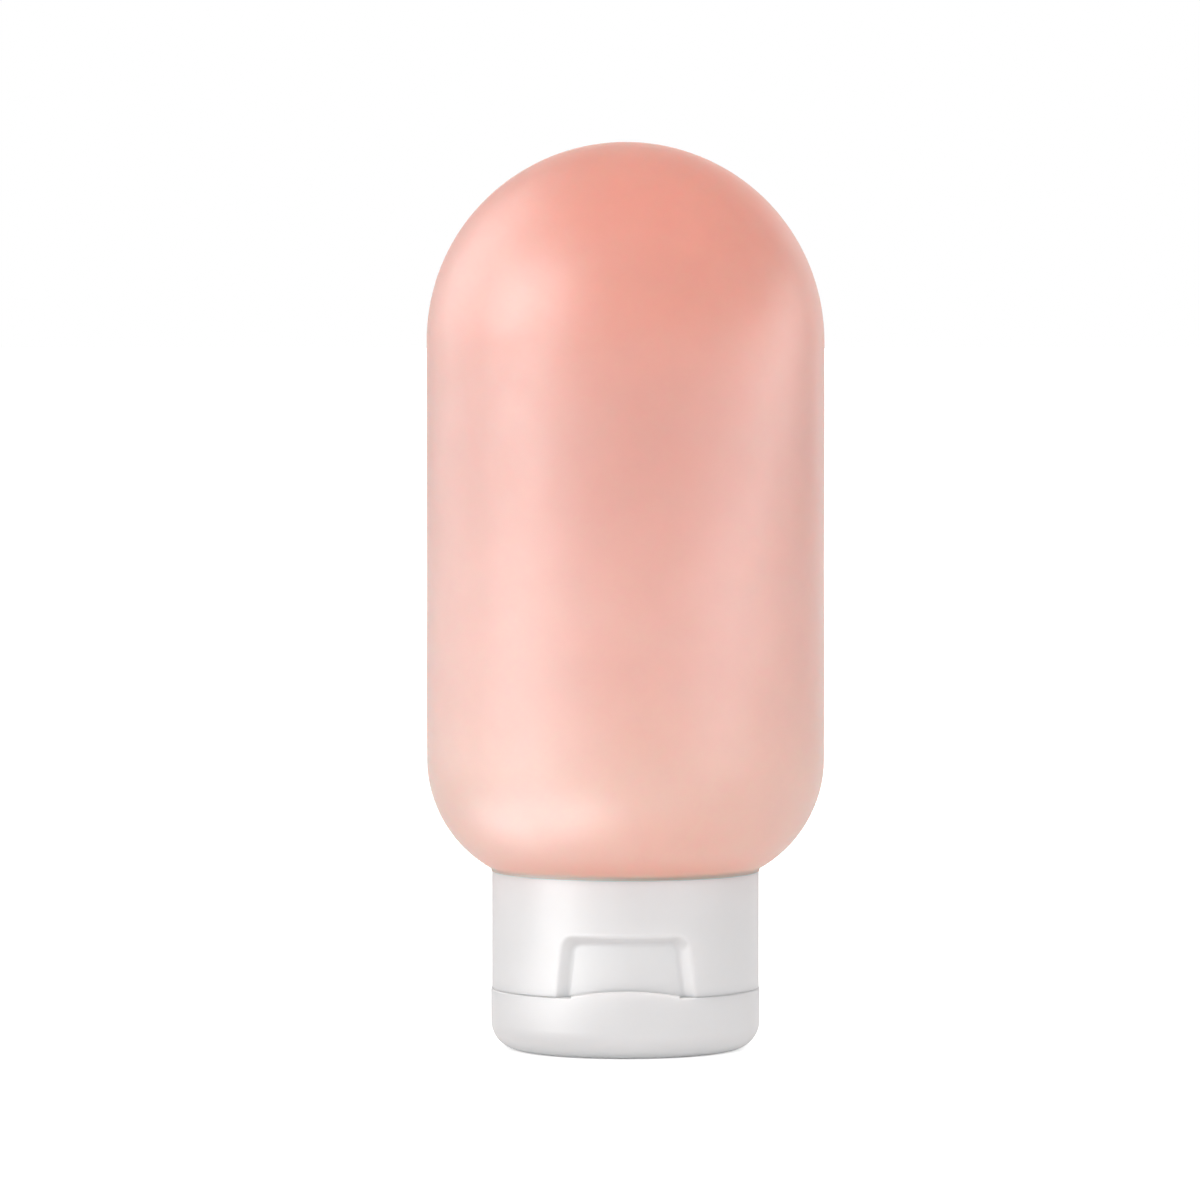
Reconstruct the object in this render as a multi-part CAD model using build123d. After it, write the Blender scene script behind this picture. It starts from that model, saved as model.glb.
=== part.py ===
from build123d import *
import math
import os

# Travel squeeze bottle, standing upside down on its closed flip-top cap.
# Millimetres, +Z up. The origin is the centre of the lid's flat outer face, on which the bottle stands.
# The thumb recess faces -Y and the hinge is at +Y.

# Silicone body
body_radius = 23.0
body_wall = 1.8
straight_side = 48.3
shoulder_radius = 14.45
inner_shoulder_radius = 10.5
shoulder_floor = 1.9
land_margin = 0.08
land_round = 0.35
neck_bore_radius = 8.2
neck_wall = 1.5
neck_mouth_round = 1.2
lip_thickness = 1.1
lip_round = 0.3

# Rigid collar on the neck, with the outside thread
collar_bore_gap = 0.05
collar_wall = 1.1
collar_flange_thickness = 1.2
collar_flange_overhang = 0.35
collar_lead_chamfer = 0.2

# Thread, right-handed, of the 24 mm closure size
thread_pitch = 3.175
thread_depth = 1.05
thread_root_gap = 0.25
thread_crest_gap = 0.3
thread_root_width = 1.7
thread_crest_width = 0.7
thread_flank_gap = 0.12
thread_sink = 0.2
thread_start = 1.3
thread_end_margin = 0.85

# Cap base, around the threaded skirt
cap_rib_room = 1.05
cap_wall = 1.15
cap_base_height = 13.75
cap_rim_gap = 0.1
cap_rim_round = 0.3
cap_parting_round = 0.1
deck_thickness = 1.3
skirt_wall = 1.1
skirt_end_gap = 0.25
cap_rib_count = 8
cap_rib_thickness = 0.9
cap_rib_setback = 1.6
gasket_bead_rise = 0.2
gasket_bead_height = 0.6
gasket_bead_depth = 0.7

# Thumb recess in the front of the cap base
recess_height = 7.1
recess_depth = 1.2
recess_top_half_width = 7.2
recess_foot_half_width = 8.0
recess_side_bevel = 1.45
recess_top_bevel = 0.87
recess_corner_radius = 2.0
recess_outer_round = 0.6
recess_floor_round = 0.8
recess_wall = 1.0

# Spout
spout_bore_radius = 3.4
spout_wall = 1.2
spout_length = 2.7
spout_tip_round = 0.35

# Locating rim around the deck, inside the lid
rim_lid_gap = 0.35
rim_wall = 1.0
rim_height = 1.1
snap_bead_height = 0.22
snap_bead_width = 0.6
snap_bead_half_length = 4.0

# Slit valve and its retainer
valve_flange_thickness = 1.1
valve_dome_overlap = 0.2
valve_dome_rise = 1.0
valve_membrane = 0.6
valve_slit_margin = 1.2
valve_slit_width = 0.12
valve_socket_gap = 0.2
socket_neck_gap = 0.5
socket_wall = 1.0
socket_height = 3.0
retainer_gap = 0.05
retainer_thickness = 1.7
retainer_dome_gap = 0.2
retainer_funnel_share = 0.5

# Neck gasket
gasket_thickness = 1.2
gasket_skirt_gap = 0.15
gasket_socket_gap = 0.25
gasket_round = 0.15

# Flip lid
lid_height = 7.1
lid_flare = 0.1
lid_wall = 1.25
lid_floor = 1.3
lid_edge_radius = 3.2
lid_parting_round = 0.15
lid_inner_edge_radius = 2.0
plug_mouth_gap = 0.07
plug_tip_gap = 0.27
plug_wall = 0.85
plug_engagement = 2.0
plug_tip_round = 0.3
thumb_lip_rise = 0.85
thumb_lip_end_rise = 0.2
thumb_lip_gap = 0.25
thumb_lip_side_gap = 0.35
thumb_lip_round = 0.22

# Living hinge at the back
hinge_setback = 0.75
hinge_flat_length = 4.1
hinge_pad_thickness = 1.2
hinge_pad_margin = 0.33
hinge_rim_notch = 0.9
film_half_width = 2.3
film_thickness = 0.35
film_half_length = 0.45
film_waist_cut = 0.1
film_side_gap = 0.15
spring_film_web = 0.73
spring_width = 1.15
spring_thickness = 0.6
spring_recess = 0.1
spring_half_length = 1.0
spring_side_gap = 0.12

# Overrun of every cutting solid past the faces that it cuts
overrun = 2.0

# Heights, from the standing face up
parting_z = lid_height
deck_top_z = parting_z + deck_thickness
lip_bottom_z = deck_top_z + gasket_thickness
collar_bottom_z = lip_bottom_z + lip_thickness
rim_z = parting_z + cap_base_height
land_z = rim_z + cap_rim_gap
flange_bottom_z = land_z - collar_flange_thickness
skirt_top_z = flange_bottom_z - skirt_end_gap
spout_tip_z = parting_z - spout_length
valve_flange_top_z = deck_top_z + valve_flange_thickness

# Radii, from the neck outwards
neck_outer_radius = neck_bore_radius + neck_wall
collar_bore_radius = neck_outer_radius + collar_bore_gap
collar_radius = collar_bore_radius + collar_wall
thread_crest_radius = collar_radius + thread_depth
skirt_bore_radius = thread_crest_radius + thread_root_gap
skirt_radius = skirt_bore_radius + skirt_wall
cap_inner_radius = skirt_radius + cap_rib_room
cap_radius = cap_inner_radius + cap_wall
lid_radius = cap_radius + lid_flare
lid_inner_radius = lid_radius - lid_wall
rim_radius = lid_inner_radius - rim_lid_gap
spout_radius = spout_bore_radius + spout_wall
socket_radius = neck_bore_radius - socket_neck_gap
socket_bore_radius = socket_radius - socket_wall
valve_flange_radius = socket_bore_radius - valve_socket_gap
valve_dome_radius = spout_bore_radius + valve_dome_overlap
retainer_bore_radius = valve_dome_radius + retainer_dome_gap
recess_floor_radius = cap_radius - recess_depth
recess_reach = recess_foot_half_width + recess_wall

# Places of the shoulder, dome and hinge
land_radius = cap_radius + land_margin
shoulder_center_r = body_radius - shoulder_radius
shoulder_center_z = land_z + math.sqrt(shoulder_radius**2 - (land_radius - shoulder_center_r) ** 2)
dome_center_z = shoulder_center_z + straight_side
hinge_y = cap_radius - hinge_setback
window_inner_x = film_half_width + film_side_gap + spring_film_web
spring_inner_x = window_inner_x + spring_side_gap
window_outer_x = spring_inner_x + spring_width + spring_side_gap
hinge_pad_half_width = window_outer_x + hinge_pad_margin

# Threads: the cap's ridge bears on the far side of the collar's ridge
female_thread_depth = skirt_bore_radius - collar_radius - thread_crest_gap
flank_run = (thread_root_width - thread_crest_width) / 2
female_half_width = thread_root_width / 2 - flank_run * thread_root_gap / female_thread_depth
male_thread_z = collar_bottom_z + thread_start
female_thread_z = male_thread_z + thread_crest_width / 2 + female_half_width + thread_flank_gap
thread_rise = skirt_top_z - thread_end_margin - thread_root_width / 2 - female_thread_z

# Two places closer than this are one place, and an edge is tested at these shares of its length
tolerance = 1e-4
edge_check_shares = (0, 0.5, 1)


def ring(inner, outer, bottom, top):
    """Upright tube between two radii and two heights."""
    height = top - bottom
    wall = Cylinder(outer, height, align=(Align.CENTER, Align.CENTER, Align.MIN))
    if inner > 0:
        wall -= Cylinder(inner, height, align=(Align.CENTER, Align.CENTER, Align.MIN))
    return Pos(0, 0, bottom) * wall


def block(x_low, x_high, y_low, y_high, z_low, z_high):
    """Box given by its faces."""
    box = Box(x_high - x_low, y_high - y_low, z_high - z_low, align=(Align.MIN, Align.MIN, Align.MIN))
    return Pos(x_low, y_low, z_low) * box


def turned(*edges):
    """Solid turned about Z from a closed outline in radius and height."""
    return revolve(Plane.XZ * make_face(list(edges)), Axis.Z)


def arc_on(center_r, center_z, radius, start_deg, end_deg):
    """Arc of the outline about a centre, by its angles from +r towards +z."""
    return CenterArc((center_r, center_z), radius, start_deg, end_deg - start_deg)


def edges_at_height(part, height, radius=None):
    """Round edges of a part that lie at one height, and optionally at one radius."""
    circles = part.edges().filter_by(GeomType.CIRCLE)
    found = circles.filter_by(lambda edge: abs(edge.center().Z - height) < tolerance)
    if radius is None:
        return found
    return found.filter_by(lambda edge: abs(edge.radius - radius) < tolerance)


def thread_ridge(root_radius, depth, outward, start_z):
    """One helical ridge of the thread, sunk a little into the wall that carries it."""
    path = Helix(thread_pitch, thread_rise, root_radius, center=(0, 0, start_z))
    side = 1 if outward else -1
    section_plane = Plane(origin=path @ 0, x_dir=(side, 0, 0), z_dir=path % 0)
    root = thread_root_width / 2
    crest = thread_crest_width / 2
    slope = (root - crest) / depth
    sunk = root + slope * thread_sink
    outline = Polyline(
        (-thread_sink, -sunk), (depth, -crest), (depth, crest), (-thread_sink, sunk),
        close=True,
    )
    return sweep(section_plane * make_face(outline), path=path, is_frenet=True)


def bottle_shell():
    """Squeeze body: domed end, straight side, round shoulder, neck and folded lip."""
    inner_radius = body_radius - body_wall
    floor_z = land_z + shoulder_floor
    inner_center_r = inner_radius - inner_shoulder_radius
    inner_center_z = floor_z + inner_shoulder_radius
    top_z = dome_center_z + body_radius
    land_angle = math.degrees(math.atan2(land_z - shoulder_center_z, land_radius - shoulder_center_r))
    shell = turned(
        Polyline(
            (inner_center_r, floor_z),
            (neck_bore_radius, floor_z),
            (neck_bore_radius, lip_bottom_z),
            (collar_radius, lip_bottom_z),
            (collar_radius, collar_bottom_z),
            (neck_outer_radius, collar_bottom_z),
            (neck_outer_radius, land_z),
            (land_radius, land_z),
        ),
        arc_on(shoulder_center_r, shoulder_center_z, shoulder_radius, land_angle, 0),
        Line((body_radius, shoulder_center_z), (body_radius, dome_center_z)),
        arc_on(0, dome_center_z, body_radius, 0, 90),
        Line((0, top_z), (0, top_z - body_wall)),
        arc_on(0, dome_center_z, inner_radius, 90, 0),
        Line((inner_radius, dome_center_z), (inner_radius, inner_center_z)),
        arc_on(inner_center_r, inner_center_z, inner_shoulder_radius, 0, -90),
    )
    shell = fillet(edges_at_height(shell, land_z, land_radius), land_round)
    shell = fillet(edges_at_height(shell, floor_z, neck_bore_radius), neck_mouth_round)
    return fillet(edges_at_height(shell, lip_bottom_z), lip_round)


def neck_collar():
    """Rigid ring on the neck, with a flange under the shoulder and the outside thread."""
    collar = ring(collar_bore_radius, collar_radius, collar_bottom_z, land_z)
    flange_radius = skirt_radius + collar_flange_overhang
    collar += ring(collar_bore_radius, flange_radius, flange_bottom_z, land_z)
    collar = chamfer(edges_at_height(collar, collar_bottom_z, collar_radius), collar_lead_chamfer)
    return collar + thread_ridge(collar_radius, thread_depth, True, male_thread_z)


def neck_gasket():
    """Flat seal between the deck of the cap and the lip of the neck."""
    inner = socket_radius + gasket_socket_gap
    outer = skirt_bore_radius - gasket_skirt_gap
    gasket = ring(inner, outer, deck_top_z, lip_bottom_z)
    return fillet(gasket.edges().filter_by(GeomType.CIRCLE), gasket_round)


def slit_valve():
    """No-drip valve: a flange and a domed membrane with a crossed slit."""
    outer_sphere = (valve_dome_radius**2 + valve_dome_rise**2) / (2 * valve_dome_rise)
    inner_sphere = outer_sphere - valve_membrane
    apex_z = valve_flange_top_z + valve_dome_rise
    center_z = apex_z - outer_sphere
    outer_angle = math.degrees(math.acos(valve_dome_radius / outer_sphere))
    inner_angle = math.degrees(math.acos(spout_bore_radius / inner_sphere))
    inner_start_z = center_z + math.sqrt(inner_sphere**2 - spout_bore_radius**2)
    valve = turned(
        Polyline(
            (spout_bore_radius, inner_start_z),
            (spout_bore_radius, deck_top_z),
            (valve_flange_radius, deck_top_z),
            (valve_flange_radius, valve_flange_top_z),
            (valve_dome_radius, valve_flange_top_z),
        ),
        arc_on(0, center_z, outer_sphere, outer_angle, 90),
        Line((0, apex_z), (0, apex_z - valve_membrane)),
        arc_on(0, center_z, inner_sphere, 90, inner_angle),
    )
    length = spout_bore_radius - valve_slit_margin
    width = valve_slit_width / 2
    valve -= block(-length, length, -width, width, deck_top_z, apex_z + overrun)
    return valve - block(-width, width, -length, length, deck_top_z, apex_z + overrun)


def valve_retainer():
    """Ring pressed into the socket over the valve's flange, with a funnel towards the bottle."""
    top_z = valve_flange_top_z + retainer_thickness
    outer = socket_bore_radius - retainer_gap
    funnel_radius = retainer_bore_radius + (outer - retainer_bore_radius) * retainer_funnel_share
    funnel_foot_z = valve_flange_top_z + retainer_thickness / 2
    return turned(
        Polyline(
            (retainer_bore_radius, valve_flange_top_z),
            (outer, valve_flange_top_z),
            (outer, top_z),
            (funnel_radius, top_z),
            (retainer_bore_radius, funnel_foot_z),
            close=True,
        )
    )


def recess_half_widths(height):
    """Outer half-width of the thumb recess at a height over the parting plane."""
    share = height / recess_height
    return recess_foot_half_width + (recess_top_half_width - recess_foot_half_width) * share


def recess_section(height):
    """Plan of the recess cutter at one height: two bevelled sides that open outwards."""
    outer_x = recess_half_widths(height)
    floor_x = outer_x - recess_side_bevel
    outer_y = -math.sqrt(cap_radius**2 - outer_x**2)
    floor_y = -math.sqrt(recess_floor_radius**2 - floor_x**2)
    opening = recess_side_bevel / (floor_y - outer_y)
    back_y = floor_y + recess_depth / 2
    front_y = -(cap_radius + overrun)
    back_x = floor_x - opening * (back_y - floor_y)
    front_x = outer_x + opening * (outer_y - front_y)
    outline = Polyline(
        (-back_x, back_y), (back_x, back_y), (front_x, front_y), (-front_x, front_y),
        close=True,
    )
    return Pos(0, 0, parting_z + height) * make_face(outline)


def recess_cutter():
    """Thumb recess: floor round the cap's axis, bevelled top and sides, rounded corners."""
    floor_top_z = parting_z + recess_height - recess_top_bevel
    slope = recess_top_bevel / recess_depth
    front_radius = cap_radius + overrun
    front_z = floor_top_z + slope * (front_radius - recess_floor_radius)
    sweep_round = turned(
        Polyline(
            (recess_floor_radius, parting_z - 2 * overrun),
            (front_radius, parting_z - 2 * overrun),
            (front_radius, front_z),
            (recess_floor_radius, floor_top_z),
            close=True,
        )
    )
    sides = loft([recess_section(-2 * overrun), recess_section(recess_height + overrun)], ruled=True)
    cutter = sweep_round & sides
    corners = cutter.edges().filter_by(
        lambda edge: min((edge @ 0).Z, (edge @ 1).Z) > floor_top_z - tolerance
        and abs((edge @ 0).Z - (edge @ 1).Z) > tolerance
    )
    return fillet(corners, recess_corner_radius)


def recess_edges(wall, radius):
    """Edges of the thumb recess that lie on one upright cylinder."""

    def on_cylinder(point):
        return abs(math.hypot(point.X, point.Y) - radius) < tolerance

    def in_recess(edge):
        points = [edge @ share for share in edge_check_shares]
        below_top = max(point.Z for point in points) < rim_z - cap_rim_round - tolerance
        above_foot = max(point.Z for point in points) > parting_z
        return below_top and above_foot and all(on_cylinder(point) and point.Y < 0 for point in points)

    return wall.edges().filter_by(in_recess)


def recessed_wall():
    """Solid outer form of the cap base with its rounded thumb recess."""
    wall = ring(0, cap_radius, parting_z - overrun, rim_z)
    wall = fillet(edges_at_height(wall, rim_z), cap_rim_round)
    wall -= recess_cutter()
    wall = fillet(recess_edges(wall, cap_radius), recess_outer_round)
    wall = fillet(recess_edges(wall, recess_floor_radius), recess_floor_round)
    wall -= ring(0, cap_radius + overrun, parting_z - 2 * overrun, parting_z)
    foot = wall.edges().filter_by(lambda edge: abs(edge.bounding_box().max.Z - parting_z) < tolerance)
    return fillet(foot, cap_parting_round)


def hinge_flat():
    """Cutter for the flat in both outer walls on which the hinge lies, with sloped ends."""
    depth = hinge_setback + lid_flare + overrun
    low_z = parting_z - hinge_flat_length
    high_z = parting_z + hinge_flat_length
    outline = Polyline(
        (hinge_y, low_z),
        (hinge_y, high_z),
        (hinge_y + depth, high_z + depth),
        (hinge_y + depth, low_z - depth),
        close=True,
    )
    return extrude(Plane.YZ * make_face(outline), cap_radius, both=True)


def hinge_pockets(z_low, z_high):
    """Seats of the film and windows of the two straps, between two heights."""
    half = film_half_width + film_side_gap
    y_out = hinge_y + overrun
    film_low = max(z_low, parting_z - film_half_length)
    film_high = min(z_high, parting_z + film_half_length)
    pockets = block(-half, half, hinge_y - film_thickness - film_side_gap, y_out, film_low, film_high)
    window_y = hinge_y - hinge_pad_thickness - overrun
    window = block(window_inner_x, window_outer_x, window_y, y_out, z_low, z_high)
    return pockets + window + mirror(window, about=Plane.YZ)


def cap_ribs():
    """Ribs between the threaded skirt and the outer wall, except behind the thumb recess."""
    top_z = skirt_top_z - cap_rib_setback
    half = cap_rib_thickness / 2
    rib = block(skirt_radius - half, cap_inner_radius + half, -half, half, parting_z, top_z)
    turns = [(index + 0.5) / cap_rib_count for index in range(cap_rib_count)]
    ribs = [Rot(0, 0, 360 * turn) * rib for turn in turns]
    return [rib for rib in ribs if rib.center().Y > 0 or abs(rib.center().X) > recess_reach]


def cap_base():
    """Screw-on cap body: outer wall, deck, threaded skirt, spout, valve socket and hinge pad."""
    backing_top_z = parting_z + recess_height + recess_wall
    backing = ring(recess_floor_radius - recess_wall, cap_radius, parting_z, backing_top_z)
    backing &= block(-recess_reach, recess_reach, -cap_radius, 0, 0, rim_z)
    base = recessed_wall() - (ring(0, cap_inner_radius, deck_top_z, rim_z + overrun) - backing)
    base += ring(skirt_bore_radius, skirt_radius, parting_z, skirt_top_z)
    base += ring(socket_bore_radius, socket_radius, parting_z, deck_top_z + socket_height)
    spout = ring(0, spout_radius, spout_tip_z, deck_top_z)
    base += fillet(edges_at_height(spout, spout_tip_z), spout_tip_round)
    for rib in cap_ribs():
        base += rib

    # Pad behind the hinge
    pad_y = hinge_y - hinge_pad_thickness
    pad_top_z = parting_z + hinge_flat_length + hinge_pad_thickness
    base += block(-hinge_pad_half_width, hinge_pad_half_width, pad_y, hinge_y, parting_z, pad_top_z)

    # Locating rim under the deck, open at the hinge, with the snap bead in front
    rim = ring(rim_radius - rim_wall, rim_radius, parting_z - rim_height, parting_z)
    bead_low_z = parting_z - rim_height / 2 - snap_bead_width / 2
    bead_top_z = bead_low_z + snap_bead_width
    bead = ring(rim_radius - rim_wall / 2, rim_radius + snap_bead_height, bead_low_z, bead_top_z)
    rim += bead & block(-snap_bead_half_length, snap_bead_half_length, -cap_radius, 0, 0, rim_z)
    notch = hinge_pad_half_width + hinge_rim_notch
    base += rim - block(-notch, notch, 0, cap_radius, 0, rim_z)

    # Bead that keeps the gasket in the cap, then the thread
    bead_z = lip_bottom_z + gasket_bead_rise
    bead_mid_z = bead_z + gasket_bead_height / 2
    bead_top_z = bead_z + gasket_bead_height
    base += turned(
        Polyline(
            (skirt_bore_radius + thread_sink, bead_z),
            (skirt_bore_radius, bead_z),
            (skirt_bore_radius - gasket_bead_depth, bead_mid_z),
            (skirt_bore_radius, bead_top_z),
            (skirt_bore_radius + thread_sink, bead_top_z),
            close=True,
        )
    )
    base += thread_ridge(skirt_bore_radius, female_thread_depth, False, female_thread_z)

    base -= ring(0, spout_bore_radius, spout_tip_z - overrun, deck_top_z + overrun)
    base -= hinge_flat()
    return base - hinge_pockets(parting_z, parting_z + spring_half_length)


def thumb_lip():
    """Crowned lip on the lid's front edge, standing in the thumb recess."""
    half = recess_half_widths(0) - recess_side_bevel - thumb_lip_side_gap
    end_z = parting_z + thumb_lip_end_rise
    foot_z = parting_z - lid_wall
    outline = [
        Polyline((half, end_z), (half, foot_z), (-half, foot_z), (-half, end_z)),
        ThreePointArc((-half, end_z), (0, parting_z + thumb_lip_rise), (half, end_z)),
    ]
    under_crown = extrude(Plane.XZ * make_face(outline), lid_radius + overrun)
    lip = under_crown & ring(recess_floor_radius + thumb_lip_gap, lid_radius, foot_z, rim_z)
    crown = lip.edges().filter_by(lambda edge: edge.length > half and (edge @ 0.5).Z > end_z)
    return fillet(crown, thumb_lip_round)


def lid_plug():
    """Hollow tapered plug that closes the spout."""
    mouth = spout_bore_radius - plug_mouth_gap
    tip = spout_bore_radius - plug_tip_gap
    bore = tip - plug_wall
    foot_z = lid_floor / 2
    tip_z = spout_tip_z + plug_engagement
    plug = turned(
        Polyline(
            (bore, foot_z), (mouth, foot_z), (mouth, spout_tip_z), (tip, tip_z), (bore, tip_z),
            close=True,
        )
    )
    return fillet(edges_at_height(plug, tip_z, tip), plug_tip_round)


def flip_lid():
    """Hinged lid: flat outer face, round edge, plug, thumb lip and hinge pad."""
    lid = ring(0, lid_radius, 0, lid_height)
    lid = fillet(edges_at_height(lid, 0), lid_edge_radius)
    lid = fillet(edges_at_height(lid, lid_height), lid_parting_round)
    cavity = ring(0, lid_inner_radius, lid_floor, lid_height + overrun)
    lid -= fillet(edges_at_height(cavity, lid_floor), lid_inner_edge_radius)
    pad_y = hinge_y - hinge_pad_thickness
    lid += block(-hinge_pad_half_width, hinge_pad_half_width, pad_y, hinge_y, lid_floor, lid_height)
    lid += lid_plug()
    lid += thumb_lip()
    lid -= hinge_flat()
    return lid - hinge_pockets(parting_z - spring_half_length, parting_z)


def hinge_film():
    """Living hinge across the parting line, thinnest in its middle."""
    inner_y = hinge_y - film_thickness
    low_z = parting_z - film_half_length
    high_z = parting_z + film_half_length
    outline = [
        Polyline((inner_y, low_z), (hinge_y, low_z), (hinge_y, high_z), (inner_y, high_z)),
        ThreePointArc((inner_y, high_z), (inner_y + film_waist_cut, parting_z), (inner_y, low_z)),
    ]
    return extrude(Plane.YZ * make_face(outline), film_half_width, both=True)


def hinge_spring(side):
    """Strap beside the film, from the end of one window to the end of the other."""
    outer_y = hinge_y - spring_recess
    strap = block(
        spring_inner_x,
        spring_inner_x + spring_width,
        outer_y - spring_thickness,
        outer_y,
        parting_z - spring_half_length,
        parting_z + spring_half_length,
    )
    return strap if side > 0 else mirror(strap, about=Plane.YZ)


pieces = {
    "bottle_shell": bottle_shell(),
    "neck_collar": neck_collar(),
    "neck_gasket": neck_gasket(),
    "slit_valve": slit_valve(),
    "valve_retainer": valve_retainer(),
    "cap_base": cap_base(),
    "flip_lid": flip_lid(),
    "hinge_film": hinge_film(),
    "hinge_spring_left": hinge_spring(-1),
    "hinge_spring_right": hinge_spring(1),
}

os.makedirs("parts", exist_ok=True)
for name, piece in pieces.items():
    export_step(piece, f"parts/{name}.step")
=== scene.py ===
import math

import bpy
from mathutils import Matrix, Vector, noise


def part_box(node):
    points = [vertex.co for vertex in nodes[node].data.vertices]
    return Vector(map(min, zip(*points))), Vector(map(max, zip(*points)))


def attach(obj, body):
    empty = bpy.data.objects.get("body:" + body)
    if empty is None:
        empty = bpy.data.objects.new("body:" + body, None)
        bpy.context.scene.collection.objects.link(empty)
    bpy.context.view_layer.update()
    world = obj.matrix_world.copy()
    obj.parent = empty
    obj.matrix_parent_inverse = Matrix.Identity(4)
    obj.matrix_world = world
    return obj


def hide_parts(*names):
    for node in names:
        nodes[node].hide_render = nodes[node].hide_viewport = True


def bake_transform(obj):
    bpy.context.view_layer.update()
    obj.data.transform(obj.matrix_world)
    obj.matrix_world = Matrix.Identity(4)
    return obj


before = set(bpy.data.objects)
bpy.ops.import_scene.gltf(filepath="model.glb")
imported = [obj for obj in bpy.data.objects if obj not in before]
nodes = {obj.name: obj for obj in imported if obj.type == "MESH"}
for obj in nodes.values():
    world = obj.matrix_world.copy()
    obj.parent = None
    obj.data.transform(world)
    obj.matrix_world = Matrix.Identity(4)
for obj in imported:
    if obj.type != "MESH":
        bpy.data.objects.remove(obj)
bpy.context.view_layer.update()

# Units: Blender works in metres, and the small sizes below are millimetres times mm
mm = 0.001

# How the photograph frames the object, in its 1200 pixel square
photo_size = 1200
photo_centre = photo_size / 2
photo_axis_x = 625.5
photo_floor_y = 1047.6
photo_pixels_per_metre = 8652
camera_distance = 0.9
camera_height = 0.0933
sensor_width = 36

# Places that the frame gives
shell_low, shell_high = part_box("bottle_shell")
collar_low, collar_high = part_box("neck_collar")
gasket_low, gasket_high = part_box("neck_gasket")
valve_low, valve_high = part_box("slit_valve")
cap_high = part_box("cap_base")[1]
body_radius = shell_high[0]
body_top_z = shell_high[2]
lip_bottom_z = shell_low[2]
collar_bottom_z = collar_low[2]
land_z = collar_high[2]
cap_radius = cap_high[0]
cap_top_z = cap_high[2]

# Silicone body: its walls, rounds and waves, which the frame does not give
body_wall = 1.8 * mm
shoulder_radius = 14.45 * mm
inner_shoulder_radius = 10.5 * mm
shoulder_floor = 1.9 * mm
land_margin = 0.08 * mm
seal_gap = 0.02 * mm
seal_overlap = 0.19 * mm
seal_round = 0.03 * mm
seal_ring_length = 0.05 * mm
cap_rim_round = 0.3 * mm
neck_bore_radius = 8.2 * mm
neck_wall = 1.5 * mm
neck_mouth_round = 1.2 * mm
lip_radius = 10.85 * mm
lip_round = 0.3 * mm
body_segments = 144
body_ring_length = 1.0 * mm
body_wave_size = 16 * mm
body_wave_height = 0.06 * mm
body_wave_seed = 3.7
body_wave_fade = 8 * mm

# Silicone gasket, and valve with a crossed slit
seal_segments = 72
valve_ring_length = 0.4 * mm
gasket_inner_radius = 7.95 * mm
gasket_round = 0.2 * mm
valve_bore_radius = 3.4 * mm
valve_dome_radius = 3.6 * mm
valve_flange_thickness = 1.1 * mm
valve_membrane = 0.6 * mm
valve_slit_length = 4.4 * mm
valve_slit_width = 0.12 * mm

# Living hinge: a film and two straps, each cut into rows along its length
hinge_rows = 18
film_waist_cut = 0.1 * mm
film_edge_round = 0.08 * mm
strap_edge_round = 0.12 * mm

# A rounded corner has this many steps, and a point nearer the axis than the tolerance lies on it
corner_steps = 5
axis_tolerance = 0.001 * mm

# Lights: azimuth is in degrees from the camera's side, positive to its right, height is that of the
# light's centre, lengths are in metres, power is in watts, and each light faces the target
light_target = (0, 0, 0.05)
front_box = {"azimuth": -8, "distance": 0.75, "height": 0.3, "width": 0.6, "tall": 0.6, "power": 1.9}
cards = {
    "left_card": {
        "azimuth": -62, "distance": 0.7, "height": 0.24, "width": 0.55, "tall": 0.75, "power": 15,
    },
    "left_rear_card": {
        "azimuth": -120, "distance": 0.7, "height": 0.38, "width": 0.6, "tall": 0.75, "power": 7.4,
    },
    "right_rear_card": {
        "azimuth": 150, "distance": 0.3, "height": 0.12, "width": 0.08, "tall": 0.16, "power": 0.1,
    },
}
right_strip = {"start": (0.053, -0.088, 0.025), "end": (0.119, 0.039, 0.117), "width": 0.02, "power": 0.093}
floor_card = {
    "azimuth": -48, "distance": 0.07, "height": 0.002, "width": 0.08, "tall": 0.08, "power": 0.125,
}

# World: each level changes to its end level between two cosines of the angle to a direction
white = (1, 1, 1, 1)
backdrop_level = 1.0
world_level = 0.69
top_light = {"direction": (0, 0, 1), "start": 0.3, "end": 0.95, "end_level": 1.5}
left_shade = {"azimuth": -80, "start": 0.2, "end": 0.9, "end_level": 0.8}
right_shade = {"azimuth": 95, "start": 0.2, "end": 0.9, "end_level": 0.57}
dark_ceiling = {"direction": (0, 0, 1), "start": 0.1, "end": 0.6, "end_level": 0.1}
dark_right = {"azimuth": 112, "start": 0.66, "end": 0.92, "end_level": 0.05}

# Floor: a pale disc that glows for the camera and in reflections, and takes the shadow
floor_colour = (0.93, 0.93, 0.93)
floor_roughness = 0.9
floor_glow = 0.6
floor_radius = 6.0
floor_segments = 96

# Coral silicone, by share of the height from the collar's flange to the top of the dome: the stops grow
# paler towards the collar as painted light, as if bounced up from the floor, over the deeper coral of the
# silicone itself
coral_stops_with_painted_floor_light = [
    (0.0, (1.0, 0.41, 0.32)),
    (0.035, (1.0, 0.495, 0.41)),
    (0.1, (1.0, 0.51, 0.43)),
    (0.3, (0.88, 0.45, 0.385)),
    (0.6, (0.76, 0.37, 0.31)),
    (0.8, (0.82, 0.345, 0.275)),
    (1.0, (1.0, 0.32, 0.245)),
]

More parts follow.
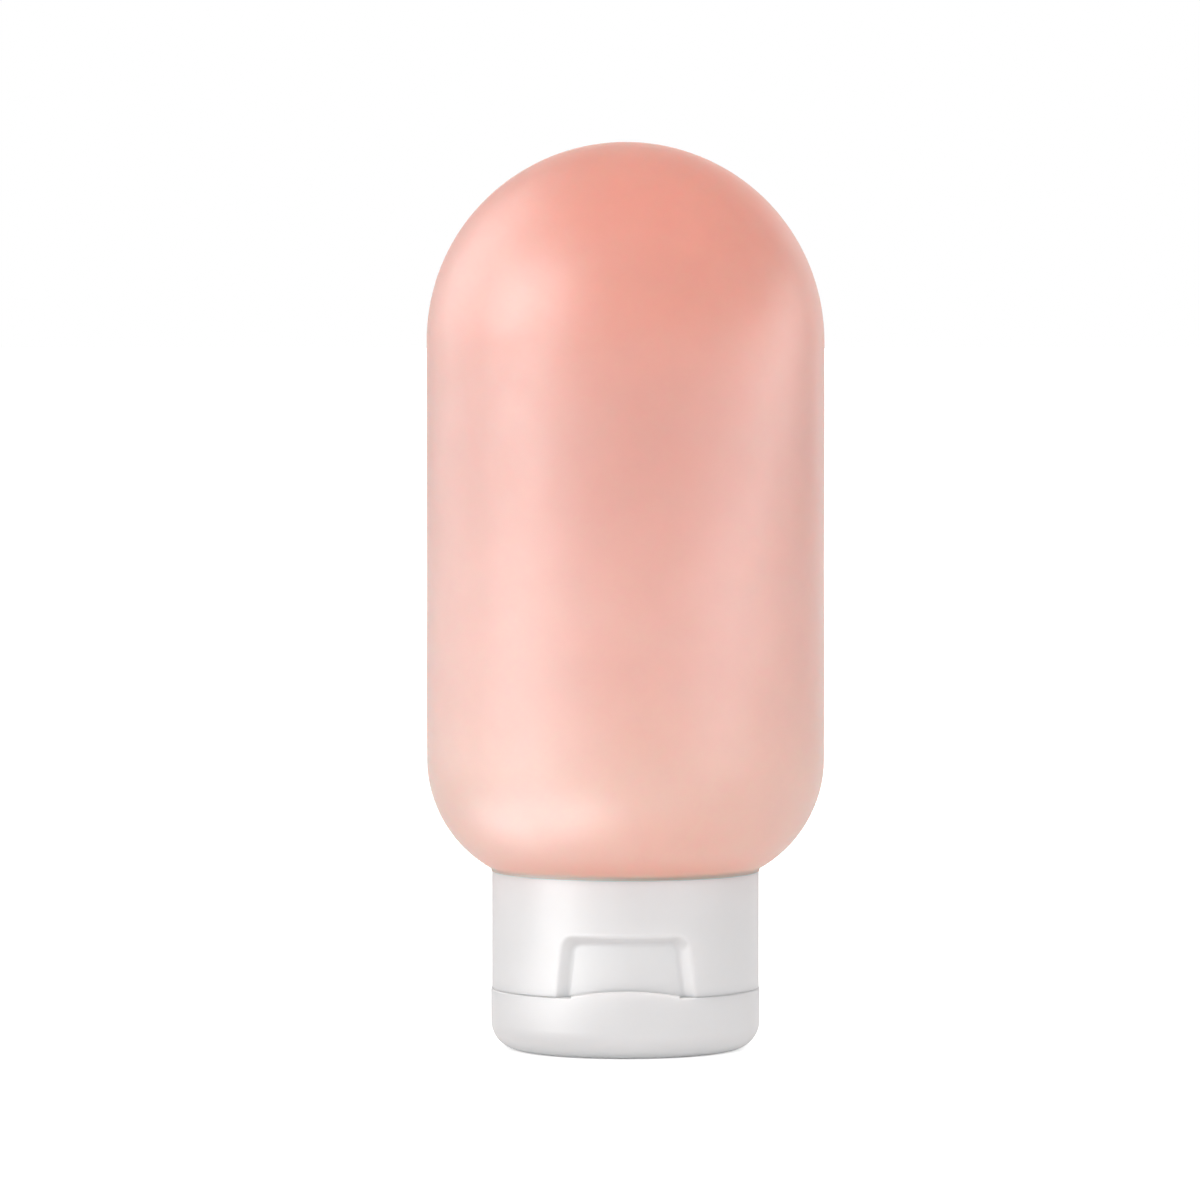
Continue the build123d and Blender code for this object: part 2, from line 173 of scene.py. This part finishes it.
# Looks: the noise that varies colour, skin and gloss, how light passes through, and how strongly the
# surface reflects, with the two Facing values of Layer Weight between which its gloss fades
silicone_look = {
    "patch_size": 6 * mm, "patch_strength": 0.02,
    "grain_size": 0.35 * mm, "grain_height": 0.004 * mm,
    "wave_size": 3 * mm, "wave_height": 0.01 * mm,
    "gloss_size": 4 * mm, "roughness": (0.48, 0.54),
    "subsurface": 1.0, "subsurface_radius": (1.0, 0.3, 0.2), "subsurface_scale": 4 * mm,
    "ior": 1.41, "specular": 0.9, "gloss_fade": (0.38, 0.92), "sheen": 0.42,
}
cap_colour = (0.74, 0.742, 0.745)
cap_look = {
    "patch_size": 9 * mm, "patch_strength": 0.012,
    "grain_size": 0.3 * mm, "grain_height": 0.002 * mm,
    "wave_size": 5 * mm, "wave_height": 0.012 * mm,
    "gloss_size": 3 * mm, "roughness": (0.36, 0.42),
    "subsurface": 1.0, "subsurface_radius": (1.0, 0.95, 0.9), "subsurface_scale": 1.6 * mm,
    "ior": 1.49, "specular": 0.54, "gloss_fade": (0.38, 0.92), "sheen": 0.25,
}
collar_colour = (0.72, 0.74, 0.75)
collar_look = {
    "patch_size": 5 * mm, "patch_strength": 0.02,
    "grain_size": 0.4 * mm, "grain_height": 0.003 * mm,
    "wave_size": 4 * mm, "wave_height": 0.006 * mm,
    "gloss_size": 2 * mm, "roughness": (0.34, 0.44),
    "subsurface": 0.6, "subsurface_radius": (1.0, 1.0, 1.0), "subsurface_scale": 1.5 * mm,
    "ior": 1.49, "specular": 0.5, "gloss_fade": (0.4, 0.9), "sheen": 0.0,
}
seal_colour = (0.78, 0.79, 0.78)
seal_look = {
    "patch_size": 3 * mm, "patch_strength": 0.03,
    "grain_size": 0.25 * mm, "grain_height": 0.003 * mm,
    "wave_size": 2 * mm, "wave_height": 0.005 * mm,
    "gloss_size": 1.5 * mm, "roughness": (0.35, 0.48),
    "subsurface": 0.9, "subsurface_radius": (1.0, 1.0, 0.95), "subsurface_scale": 2 * mm,
    "ior": 1.41, "specular": 0.5, "gloss_fade": (0.4, 0.9), "sheen": 0.1,
}
edge_specular = 0.0
sheen_roughness = 0.35

# Noise: its values lie mostly in this range, and the colour has one octave more than the skin
noise_range = (0.3, 0.7)
colour_detail = 3
skin_detail = 2


# Objects
def link(obj):
    """Puts a new object in the scene."""
    bpy.context.scene.collection.objects.link(obj)
    return obj


def mesh_object(name, vertices, faces):
    """Object of a new smooth mesh."""
    mesh = bpy.data.meshes.new(name)
    mesh.from_pydata(vertices, [], faces)
    mesh.shade_smooth()
    mesh.update()
    return link(bpy.data.objects.new(name, mesh))


def dress(obj, material):
    """Gives a piece its one material."""
    obj.data.materials.clear()
    obj.data.materials.append(material)


# Camera and lights
def photo_camera():
    """Camera at the photograph's place, aimed so that the object lies where the photograph has it."""
    camera = bpy.data.cameras.new("camera")
    camera.sensor_width = sensor_width
    camera.lens = sensor_width * camera_distance * photo_pixels_per_metre / photo_size
    aim_x = (photo_centre - photo_axis_x) / photo_pixels_per_metre
    floor_drop = (photo_floor_y - photo_centre) / photo_pixels_per_metre
    pitch = math.atan2(camera_height, camera_distance) - math.atan2(floor_drop, camera_distance)
    aim_z = camera_height - camera_distance * math.tan(pitch)
    obj = link(bpy.data.objects.new("camera", camera))
    obj.location = (0, -camera_distance, camera_height)
    direction = Vector((aim_x, 0, aim_z)) - obj.location
    obj.rotation_euler = direction.to_track_quat("-Z", "Y").to_euler()
    bpy.context.scene.camera = obj


def polar(azimuth, distance, height):
    """Place round the object: azimuth 0 is the camera's side, positive to its right."""
    angle = math.radians(azimuth)
    return Vector((distance * math.sin(angle), -distance * math.cos(angle), height))


def area_light(name, place, upright, width, height, power):
    """Soft box at a place, facing the object, with its height along the upright direction."""
    light = bpy.data.lights.new(name, "AREA")
    light.shape = "RECTANGLE"
    light.size = width
    light.size_y = height
    light.energy = power
    backward = (place - Vector(light_target)).normalized()
    sideways = upright.cross(backward).normalized()
    obj = link(bpy.data.objects.new(name, light))
    obj.matrix_world = Matrix.LocRotScale(
        place, Matrix((sideways, backward.cross(sideways), backward)).transposed(), None
    )
    obj.visible_camera = False
    return obj


def place_card(name, azimuth, distance, height, width, tall, power):
    """Upright rectangle of light round the object."""
    return area_light(name, polar(azimuth, distance, height), Vector((0, 0, 1)), width, tall, power)


def place_strip(name, start, end, width, power):
    """Narrow rectangle of light between two places."""
    start = Vector(start)
    end = Vector(end)
    return area_light(name, (start + end) / 2, end - start, width, (end - start).length, power)


def studio_lights():
    """Soft box that leaves no reflection, and cards, a leaning strip and a floor card that only reflect."""
    box = place_card("front_box", **front_box)
    box.visible_glossy = False
    # A lamp shines along its own -Z, so half a turn about X makes the card on the floor shine upwards
    lying = place_card("floor_card", **floor_card)
    lying.rotation_euler = (math.pi, 0, math.radians(floor_card["azimuth"]))
    reflections = [place_card(name, **values) for name, values in cards.items()]
    for card in [*reflections, place_strip("right_strip", **right_strip), lying]:
        card.visible_diffuse = False


# Shader nodes
def feed(tree, value, socket):
    """Links a node's value to a socket, or sets the socket to a plain number."""
    if isinstance(value, bpy.types.NodeSocket):
        tree.links.new(value, socket)
    else:
        socket.default_value = value


def calculated(tree, operation, first, second):
    """Result of one operation on two values."""
    node = tree.nodes.new("ShaderNodeMath")
    node.operation = operation
    feed(tree, first, node.inputs[0])
    feed(tree, second, node.inputs[1])
    return node.outputs[0]


def mixed(tree, share, first, second):
    """First value where the share is 0, and second value where it is 1."""
    node = tree.nodes.new("ShaderNodeMix")
    feed(tree, share, node.inputs["Factor"])
    feed(tree, first, node.inputs["A"])
    feed(tree, second, node.inputs["B"])
    return node.outputs["Result"]


def ranged(tree, value, source, target, kind="LINEAR"):
    """Value carried from one range, a pair of numbers, to another."""
    node = tree.nodes.new("ShaderNodeMapRange")
    node.interpolation_type = kind
    for name, number in zip(("From Min", "From Max", "To Min", "To Max"), (*source, *target)):
        node.inputs[name].default_value = number
    tree.links.new(value, node.inputs["Value"])
    return node.outputs["Result"]


def new_material(name):
    """Material with its node tree and its main shader."""
    material = bpy.data.materials.new(name)
    material.use_nodes = True
    return material, material.node_tree, material.node_tree.nodes["Principled BSDF"]


# World and floor
def any_ray(tree, *names):
    """1 for the rays of these kinds, and 0 for all others."""
    path = tree.nodes.new("ShaderNodeLightPath")
    highest = path.outputs[names[0]]
    for name in names[1:]:
        highest = calculated(tree, "MAXIMUM", highest, path.outputs[name])
    return highest


def level_towards(tree, start, end, end_level, full=1.0, direction=None, azimuth=None):
    """Full level over most of the world, changing to another where it is seen in one direction."""
    place = tree.nodes.new("ShaderNodeTexCoord")
    along = tree.nodes.new("ShaderNodeVectorMath")
    along.operation = "DOT_PRODUCT"
    along.inputs[1].default_value = direction or polar(azimuth, 1, 0)
    tree.links.new(place.outputs["Generated"], along.inputs[0])
    return ranged(tree, along.outputs["Value"], (start, end), (full, end_level), "SMOOTHSTEP")


def studio_world():
    """White backdrop, whose ceiling and right are dark in reflections and whose top lights the most."""
    world = bpy.data.worlds.new("studio")
    world.use_nodes = True
    tree = world.node_tree
    left = level_towards(tree, **left_shade)
    right = level_towards(tree, **right_shade, full=world_level)
    top = level_towards(tree, **top_light)
    lighting = calculated(tree, "MULTIPLY", top, calculated(tree, "MULTIPLY", left, right))
    ceiling = level_towards(tree, **dark_ceiling)
    reflected = calculated(tree, "MULTIPLY", ceiling, level_towards(tree, **dark_right))
    indirect = mixed(tree, any_ray(tree, "Is Glossy Ray", "Is Transmission Ray"), lighting, reflected)
    strength = mixed(tree, any_ray(tree, "Is Camera Ray"), indirect, backdrop_level)
    background = tree.nodes["Background"]
    background.inputs["Color"].default_value = white
    tree.links.new(strength, background.inputs["Strength"])
    bpy.context.scene.world = world


def studio_floor():
    """Round pale floor that takes the object's shadow."""
    angles = [2 * math.pi * i / floor_segments for i in range(floor_segments)]
    ring = [(floor_radius * math.cos(angle), floor_radius * math.sin(angle), 0) for angle in angles]
    floor = mesh_object("floor", ring, [tuple(range(floor_segments))])
    material, tree, shader = new_material("floor_paper")
    shader.inputs["Base Color"].default_value = (*floor_colour, 1)
    shader.inputs["Roughness"].default_value = floor_roughness
    shader.inputs["Specular IOR Level"].default_value = 0.0
    shader.inputs["Emission Color"].default_value = white
    seen = any_ray(tree, "Is Camera Ray", "Is Glossy Ray", "Is Transmission Ray")
    tree.links.new(calculated(tree, "MULTIPLY", seen, floor_glow), shader.inputs["Emission Strength"])
    floor.data.materials.append(material)


def studio():
    """Camera, lights, backdrop and floor."""
    photo_camera()
    studio_lights()
    studio_world()
    studio_floor()


# Materials
def object_noise(tree, size, detail):
    """Noise fixed to the piece, with features of about this size."""
    place = tree.nodes.new("ShaderNodeTexCoord")
    texture = tree.nodes.new("ShaderNodeTexNoise")
    texture.inputs["Scale"].default_value = 1 / size
    texture.inputs["Detail"].default_value = detail
    tree.links.new(place.outputs["Object"], texture.inputs["Vector"])
    return texture.outputs["Fac"]


def spread(tree, value, low, high):
    """Noise value turned into one between low and high."""
    return ranged(tree, value, noise_range, (low, high))


def bump(tree, value, height):
    """Node that raises the surface by a value."""
    raised = tree.nodes.new("ShaderNodeBump")
    raised.inputs["Distance"].default_value = height
    tree.links.new(value, raised.inputs["Height"])
    return raised


def fading_specular(tree, specular, fade):
    """Specular level that falls where the surface turns away, as a matt skin's does."""
    facing = tree.nodes.new("ShaderNodeLayerWeight").outputs["Facing"]
    return ranged(tree, facing, fade, (specular, edge_specular), "SMOOTHSTEP")


def colour_by_height(tree, low_z, high_z, stops):
    """Colour ramp from one height of the piece to another, with its first stop at 0 and its last at 1."""
    place = tree.nodes.new("ShaderNodeTexCoord")
    split = tree.nodes.new("ShaderNodeSeparateXYZ")
    tree.links.new(place.outputs["Object"], split.inputs[0])
    ramp = tree.nodes.new("ShaderNodeValToRGB")
    ramp.color_ramp.interpolation = "EASE"
    elements = ramp.color_ramp.elements
    for position, _ in stops[1:-1]:
        elements.new(position)
    for element, (position, colour) in zip(elements, stops):
        element.position = position
        element.color = (*colour, 1)
    tree.links.new(ranged(tree, split.outputs["Z"], (low_z, high_z), (0, 1)), ramp.inputs["Fac"])
    return ramp.outputs["Color"]


def moulded_material(name, look, colour=None, stops=None):
    """Moulded material, slightly uneven all over, in one colour or in colours that change with height."""
    material, tree, shader = new_material(name)
    patches = object_noise(tree, look["patch_size"], colour_detail)
    tinted = tree.nodes.new("ShaderNodeVectorMath")
    tinted.operation = "SCALE"
    if stops:
        tree.links.new(colour_by_height(tree, land_z, body_top_z, stops), tinted.inputs[0])
    else:
        tinted.inputs[0].default_value = colour
    strength = look["patch_strength"]
    tree.links.new(spread(tree, patches, 1 - strength, 1 + strength), tinted.inputs["Scale"])
    tree.links.new(tinted.outputs[0], shader.inputs["Base Color"])
    grain = bump(tree, object_noise(tree, look["grain_size"], skin_detail), look["grain_height"])
    waves = bump(tree, object_noise(tree, look["wave_size"], skin_detail), look["wave_height"])
    tree.links.new(grain.outputs["Normal"], waves.inputs["Normal"])
    tree.links.new(waves.outputs["Normal"], shader.inputs["Normal"])
    gloss = spread(tree, object_noise(tree, look["gloss_size"], skin_detail), *look["roughness"])
    tree.links.new(gloss, shader.inputs["Roughness"])
    shader.inputs["Subsurface Weight"].default_value = look["subsurface"]
    shader.inputs["Subsurface Radius"].default_value = look["subsurface_radius"]
    shader.inputs["Subsurface Scale"].default_value = look["subsurface_scale"]
    shader.inputs["IOR"].default_value = look["ior"]
    level = fading_specular(tree, look["specular"], look["gloss_fade"])
    tree.links.new(level, shader.inputs["Specular IOR Level"])
    shader.inputs["Sheen Weight"].default_value = look["sheen"]
    shader.inputs["Sheen Roughness"].default_value = sheen_roughness
    return material


# Outlines in radius and height, and the meshes turned from them
def arc_points(centre_r, centre_z, radius, start_deg, end_deg, step):
    """Points of an arc in radius and height, both ends included."""
    turn = math.radians(end_deg - start_deg)
    count = max(2, math.ceil(abs(turn) * radius / step))
    angles = [math.radians(start_deg) + turn * i / count for i in range(count + 1)]
    return [(centre_r + radius * math.cos(a), centre_z + radius * math.sin(a)) for a in angles]


def rounded_corner(before, corner, after, radius):
    """Points of the arc that rounds the corner of an outline, tangent to both of its sides."""
    corner = Vector(corner)
    side_in = (Vector(before) - corner).normalized()
    side_out = (Vector(after) - corner).normalized()
    half_angle = side_in.angle(side_out) / 2
    centre = corner + (side_in + side_out).normalized() * radius / math.sin(half_angle)
    reach = radius / math.tan(half_angle)
    start = corner + side_in * reach - centre
    end = corner + side_out * reach - centre
    spokes = [start.lerp(end, i / corner_steps).normalized() * radius for i in range(corner_steps + 1)]
    return [tuple(centre + spoke) for spoke in spokes]


def divided(outline, step):
    """Outline with its long stretches cut into steps."""
    points = [outline[0]]
    for start, end in zip(outline, outline[1:]):
        count = max(1, math.ceil(math.dist(start, end) / step))
        points += [
            (start[0] + (end[0] - start[0]) * i / count, start[1] + (end[1] - start[1]) * i / count)
            for i in range(1, count + 1)
        ]
    return points


def lathe(name, outline, segments):
    """Closed mesh turned about the Z axis; an outline that does not end on the axis is closed."""
    vertices = []
    rings = []
    for radius, height in outline:
        count = 1 if radius < axis_tolerance else segments
        rings.append(range(len(vertices), len(vertices) + count))
        for i in range(count):
            angle = 2 * math.pi * i / segments
            vertices.append((radius * math.cos(angle), radius * math.sin(angle), height))
    pairs = list(zip(rings, rings[1:]))
    if len(rings[0]) > 1:
        pairs.append((rings[-1], rings[0]))
    faces = []
    for ring, following in pairs:
        for i in range(segments):
            j = i + 1
            corners = [
                ring[i % len(ring)],
                following[i % len(following)],
                following[j % len(following)],
                ring[j % len(ring)],
            ]
            faces.append(list(dict.fromkeys(corners)))
    return mesh_object(name, vertices, faces)


# Soft pieces, each with its outline
def body_outline():
    """Half section of the silicone body, from the dome's apex down the outside and up the inside."""
    shoulder_centre_r = body_radius - shoulder_radius
    land_radius = cap_radius + land_margin
    land_drop = math.sqrt(shoulder_radius ** 2 - (land_radius - shoulder_centre_r) ** 2)
    shoulder_centre_z = land_z + land_drop
    dome_centre_z = body_top_z - body_radius
    inner_radius = body_radius - body_wall
    floor_z = land_z + shoulder_floor
    inner_centre_r = inner_radius - inner_shoulder_radius
    inner_centre_z = floor_z + inner_shoulder_radius
    neck_outer_radius = neck_bore_radius + neck_wall
    step = body_ring_length

    # The shoulder ends in a soft edge that lies over the rounded rim of the cap
    land_angle = -math.degrees(math.asin(land_drop / shoulder_radius))
    shoulder = arc_points(shoulder_centre_r, shoulder_centre_z, shoulder_radius, 0, land_angle, step)
    rim_centre_r = cap_radius - cap_rim_round
    rim_centre_z = cap_top_z - cap_rim_round
    seal_radius = cap_rim_round + seal_gap
    seal_low_z = cap_top_z - seal_overlap
    seal_angle = math.degrees(math.asin((seal_low_z - rim_centre_z) / seal_radius))
    rim = arc_points(rim_centre_r, rim_centre_z, seal_radius, seal_angle, 90, seal_ring_length)
    ledge_radius = (collar_high[0] + cap_radius) / 2
    seal_edge = (land_radius, seal_low_z)
    lip_top = (lip_radius, collar_bottom_z)
    lip_outer = (lip_radius, lip_bottom_z)
    lip_inner = (neck_bore_radius, lip_bottom_z)
    mouth = (neck_bore_radius, floor_z)
    outside = arc_points(0, dome_centre_z, body_radius, 90, 0, step) + shoulder
    neck = [
        *rounded_corner(shoulder[-1], seal_edge, rim[0], seal_round),
        *rim,
        (ledge_radius, rim[-1][1]),
        (ledge_radius, land_z),
        (neck_outer_radius, land_z),
        (neck_outer_radius, collar_bottom_z),
        lip_top,
        *rounded_corner(lip_top, lip_outer, lip_inner, lip_round),
        *rounded_corner(lip_outer, lip_inner, mouth, lip_round),
        *rounded_corner(lip_inner, mouth, (inner_centre_r, floor_z), neck_mouth_round),
    ]
    inside = arc_points(inner_centre_r, inner_centre_z, inner_shoulder_radius, -90, 0, step)
    inside += arc_points(0, dome_centre_z, inner_radius, 0, 90, step)
    return divided(outside + neck + inside, step)


def silicone_body():
    """Squeeze body with the slight unevenness of soft silicone."""
    body = lathe("silicone_body", body_outline(), body_segments)
    for vertex in body.data.vertices:
        place = vertex.co
        above_land = min(max((place.z - land_z) / body_wave_fade, 0), 1)
        wave = noise.noise(place / body_wave_size + Vector((body_wave_seed, 0, 0)))
        flat = Vector((place.x, place.y, 0))
        vertex.co = place + flat / body_radius * wave * body_wave_height * above_land
    body.data.update()
    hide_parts("bottle_shell")
    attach(body, "bottle")
    return body


def rounded_ring_outline(inner, outer, low_z, high_z, radius):
    """Section of a flat ring with four rounded corners."""
    corners = [(outer, high_z), (outer, low_z), (inner, low_z), (inner, high_z)]
    outline = []
    for i, corner in enumerate(corners):
        outline += rounded_corner(corners[i - 1], corner, corners[(i + 1) % len(corners)], radius)
    return outline


def neck_gasket():
    """Soft flat seal under the lip of the neck."""
    outline = rounded_ring_outline(
        gasket_inner_radius, gasket_high[0], gasket_low[2], gasket_high[2], gasket_round
    )
    gasket = lathe("silicone_gasket", outline, seal_segments)
    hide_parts("neck_gasket")
    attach(gasket, "gasket")
    return gasket


def valve_outline():
    """Half section of the valve, from the membrane's apex down over the flange and up inside."""
    flange_top_z = valve_low[2] + valve_flange_thickness
    dome_rise = valve_high[2] - flange_top_z
    outer_sphere = (valve_dome_radius ** 2 + dome_rise ** 2) / (2 * dome_rise)
    inner_sphere = outer_sphere - valve_membrane
    centre_z = valve_high[2] - outer_sphere
    outer_angle = math.degrees(math.acos(valve_dome_radius / outer_sphere))
    inner_angle = math.degrees(math.acos(valve_bore_radius / inner_sphere))
    return [
        *arc_points(0, centre_z, outer_sphere, 90, outer_angle, valve_ring_length),
        (valve_high[0], flange_top_z),
        (valve_high[0], valve_low[2]),
        (valve_bore_radius, valve_low[2]),
        *arc_points(0, centre_z, inner_sphere, inner_angle, 90, valve_ring_length),
    ]


def slit_cutter(length, width):
    """Thin upright block for one slit of the valve, of twice this length and width."""
    low_z = valve_low[2]
    high_z = valve_high[2] + valve_membrane
    corners = ((-length, -width), (length, -width), (length, width), (-length, width))
    count = len(corners)
    vertices = [(x, y, z) for z in (low_z, high_z) for x, y in corners]
    faces = [tuple(reversed(range(count))), tuple(range(count, 2 * count))]
    faces += [(i, (i + 1) % count, (i + 1) % count + count, i + count) for i in range(count)]
    return mesh_object("slit_cutter", vertices, faces)


def slit_valve():
    """Soft valve with a crossed slit through its domed membrane."""
    valve = lathe("silicone_valve", valve_outline(), seal_segments)
    half_length = valve_slit_length / 2
    half_width = valve_slit_width / 2
    cutters = [slit_cutter(half_length, half_width), slit_cutter(half_width, half_length)]
    for cutter in cutters:
        cut = valve.modifiers.new(cutter.name, "BOOLEAN")
        cut.operation = "DIFFERENCE"
        cut.object = cutter
    evaluated = valve.evaluated_get(bpy.context.evaluated_depsgraph_get())
    valve.data = bpy.data.meshes.new_from_object(evaluated)
    valve.modifiers.clear()
    for cutter in cutters:
        bpy.data.objects.remove(cutter)
    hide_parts("slit_valve")
    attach(valve, "cap")
    return valve


# Living hinge
def hinge_strip(name, node, edge_round, waist_cut=0):
    """Strip across the hinge: a rounded rectangle in section, thinner in its middle by the waist cut."""
    low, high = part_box(node)
    vertices = []
    for row in range(hinge_rows + 1):
        share = row / hinge_rows
        waist = waist_cut * (1 - (2 * share - 1) ** 2)
        inner_y = low[1] + waist
        corners = [(high[0], high[1]), (low[0], high[1]), (low[0], inner_y), (high[0], inner_y)]
        height = high[2] + (low[2] - high[2]) * share
        for i, corner in enumerate(corners):
            after = corners[(i + 1) % len(corners)]
            for x, y in rounded_corner(corners[i - 1], corner, after, edge_round):
                vertices.append((x, y, height))
    count = len(vertices) // (hinge_rows + 1)
    faces = [tuple(range(count)), tuple(reversed(range(count * hinge_rows, count * (hinge_rows + 1))))]
    for row in range(hinge_rows):
        for i in range(count):
            j = (i + 1) % count
            start = row * count
            faces.append((start + j, start + i, start + count + i, start + count + j))
    strip = mesh_object(name, vertices, faces)
    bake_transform(strip)
    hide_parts(node)
    return strip


# The scene: its surroundings, the materials, then each piece with its material
studio()
# The coral's stops paint light on its lower part: paler towards the collar, as if lit from the floor below
coral_silicone = moulded_material("coral_silicone", silicone_look, stops=coral_stops_with_painted_floor_light)
white_plastic = moulded_material("white_polypropylene", cap_look, cap_colour)
natural_plastic = moulded_material("natural_polypropylene", collar_look, collar_colour)
clear_silicone = moulded_material("clear_silicone", seal_look, seal_colour)
dress(silicone_body(), coral_silicone)
dress(neck_gasket(), clear_silicone)
dress(slit_valve(), clear_silicone)
dress(hinge_strip("living_hinge", "hinge_film", film_edge_round, film_waist_cut), white_plastic)
for side in ("left", "right"):
    strap = hinge_strip(f"hinge_strap_{side}", f"hinge_spring_{side}", strap_edge_round)
    dress(strap, white_plastic)
for name in ("cap_base", "flip_lid"):
    dress(nodes[name], white_plastic)
for name in ("neck_collar", "valve_retainer"):
    dress(nodes[name], natural_plastic)

bpy.context.scene.view_settings.view_transform = "Standard"
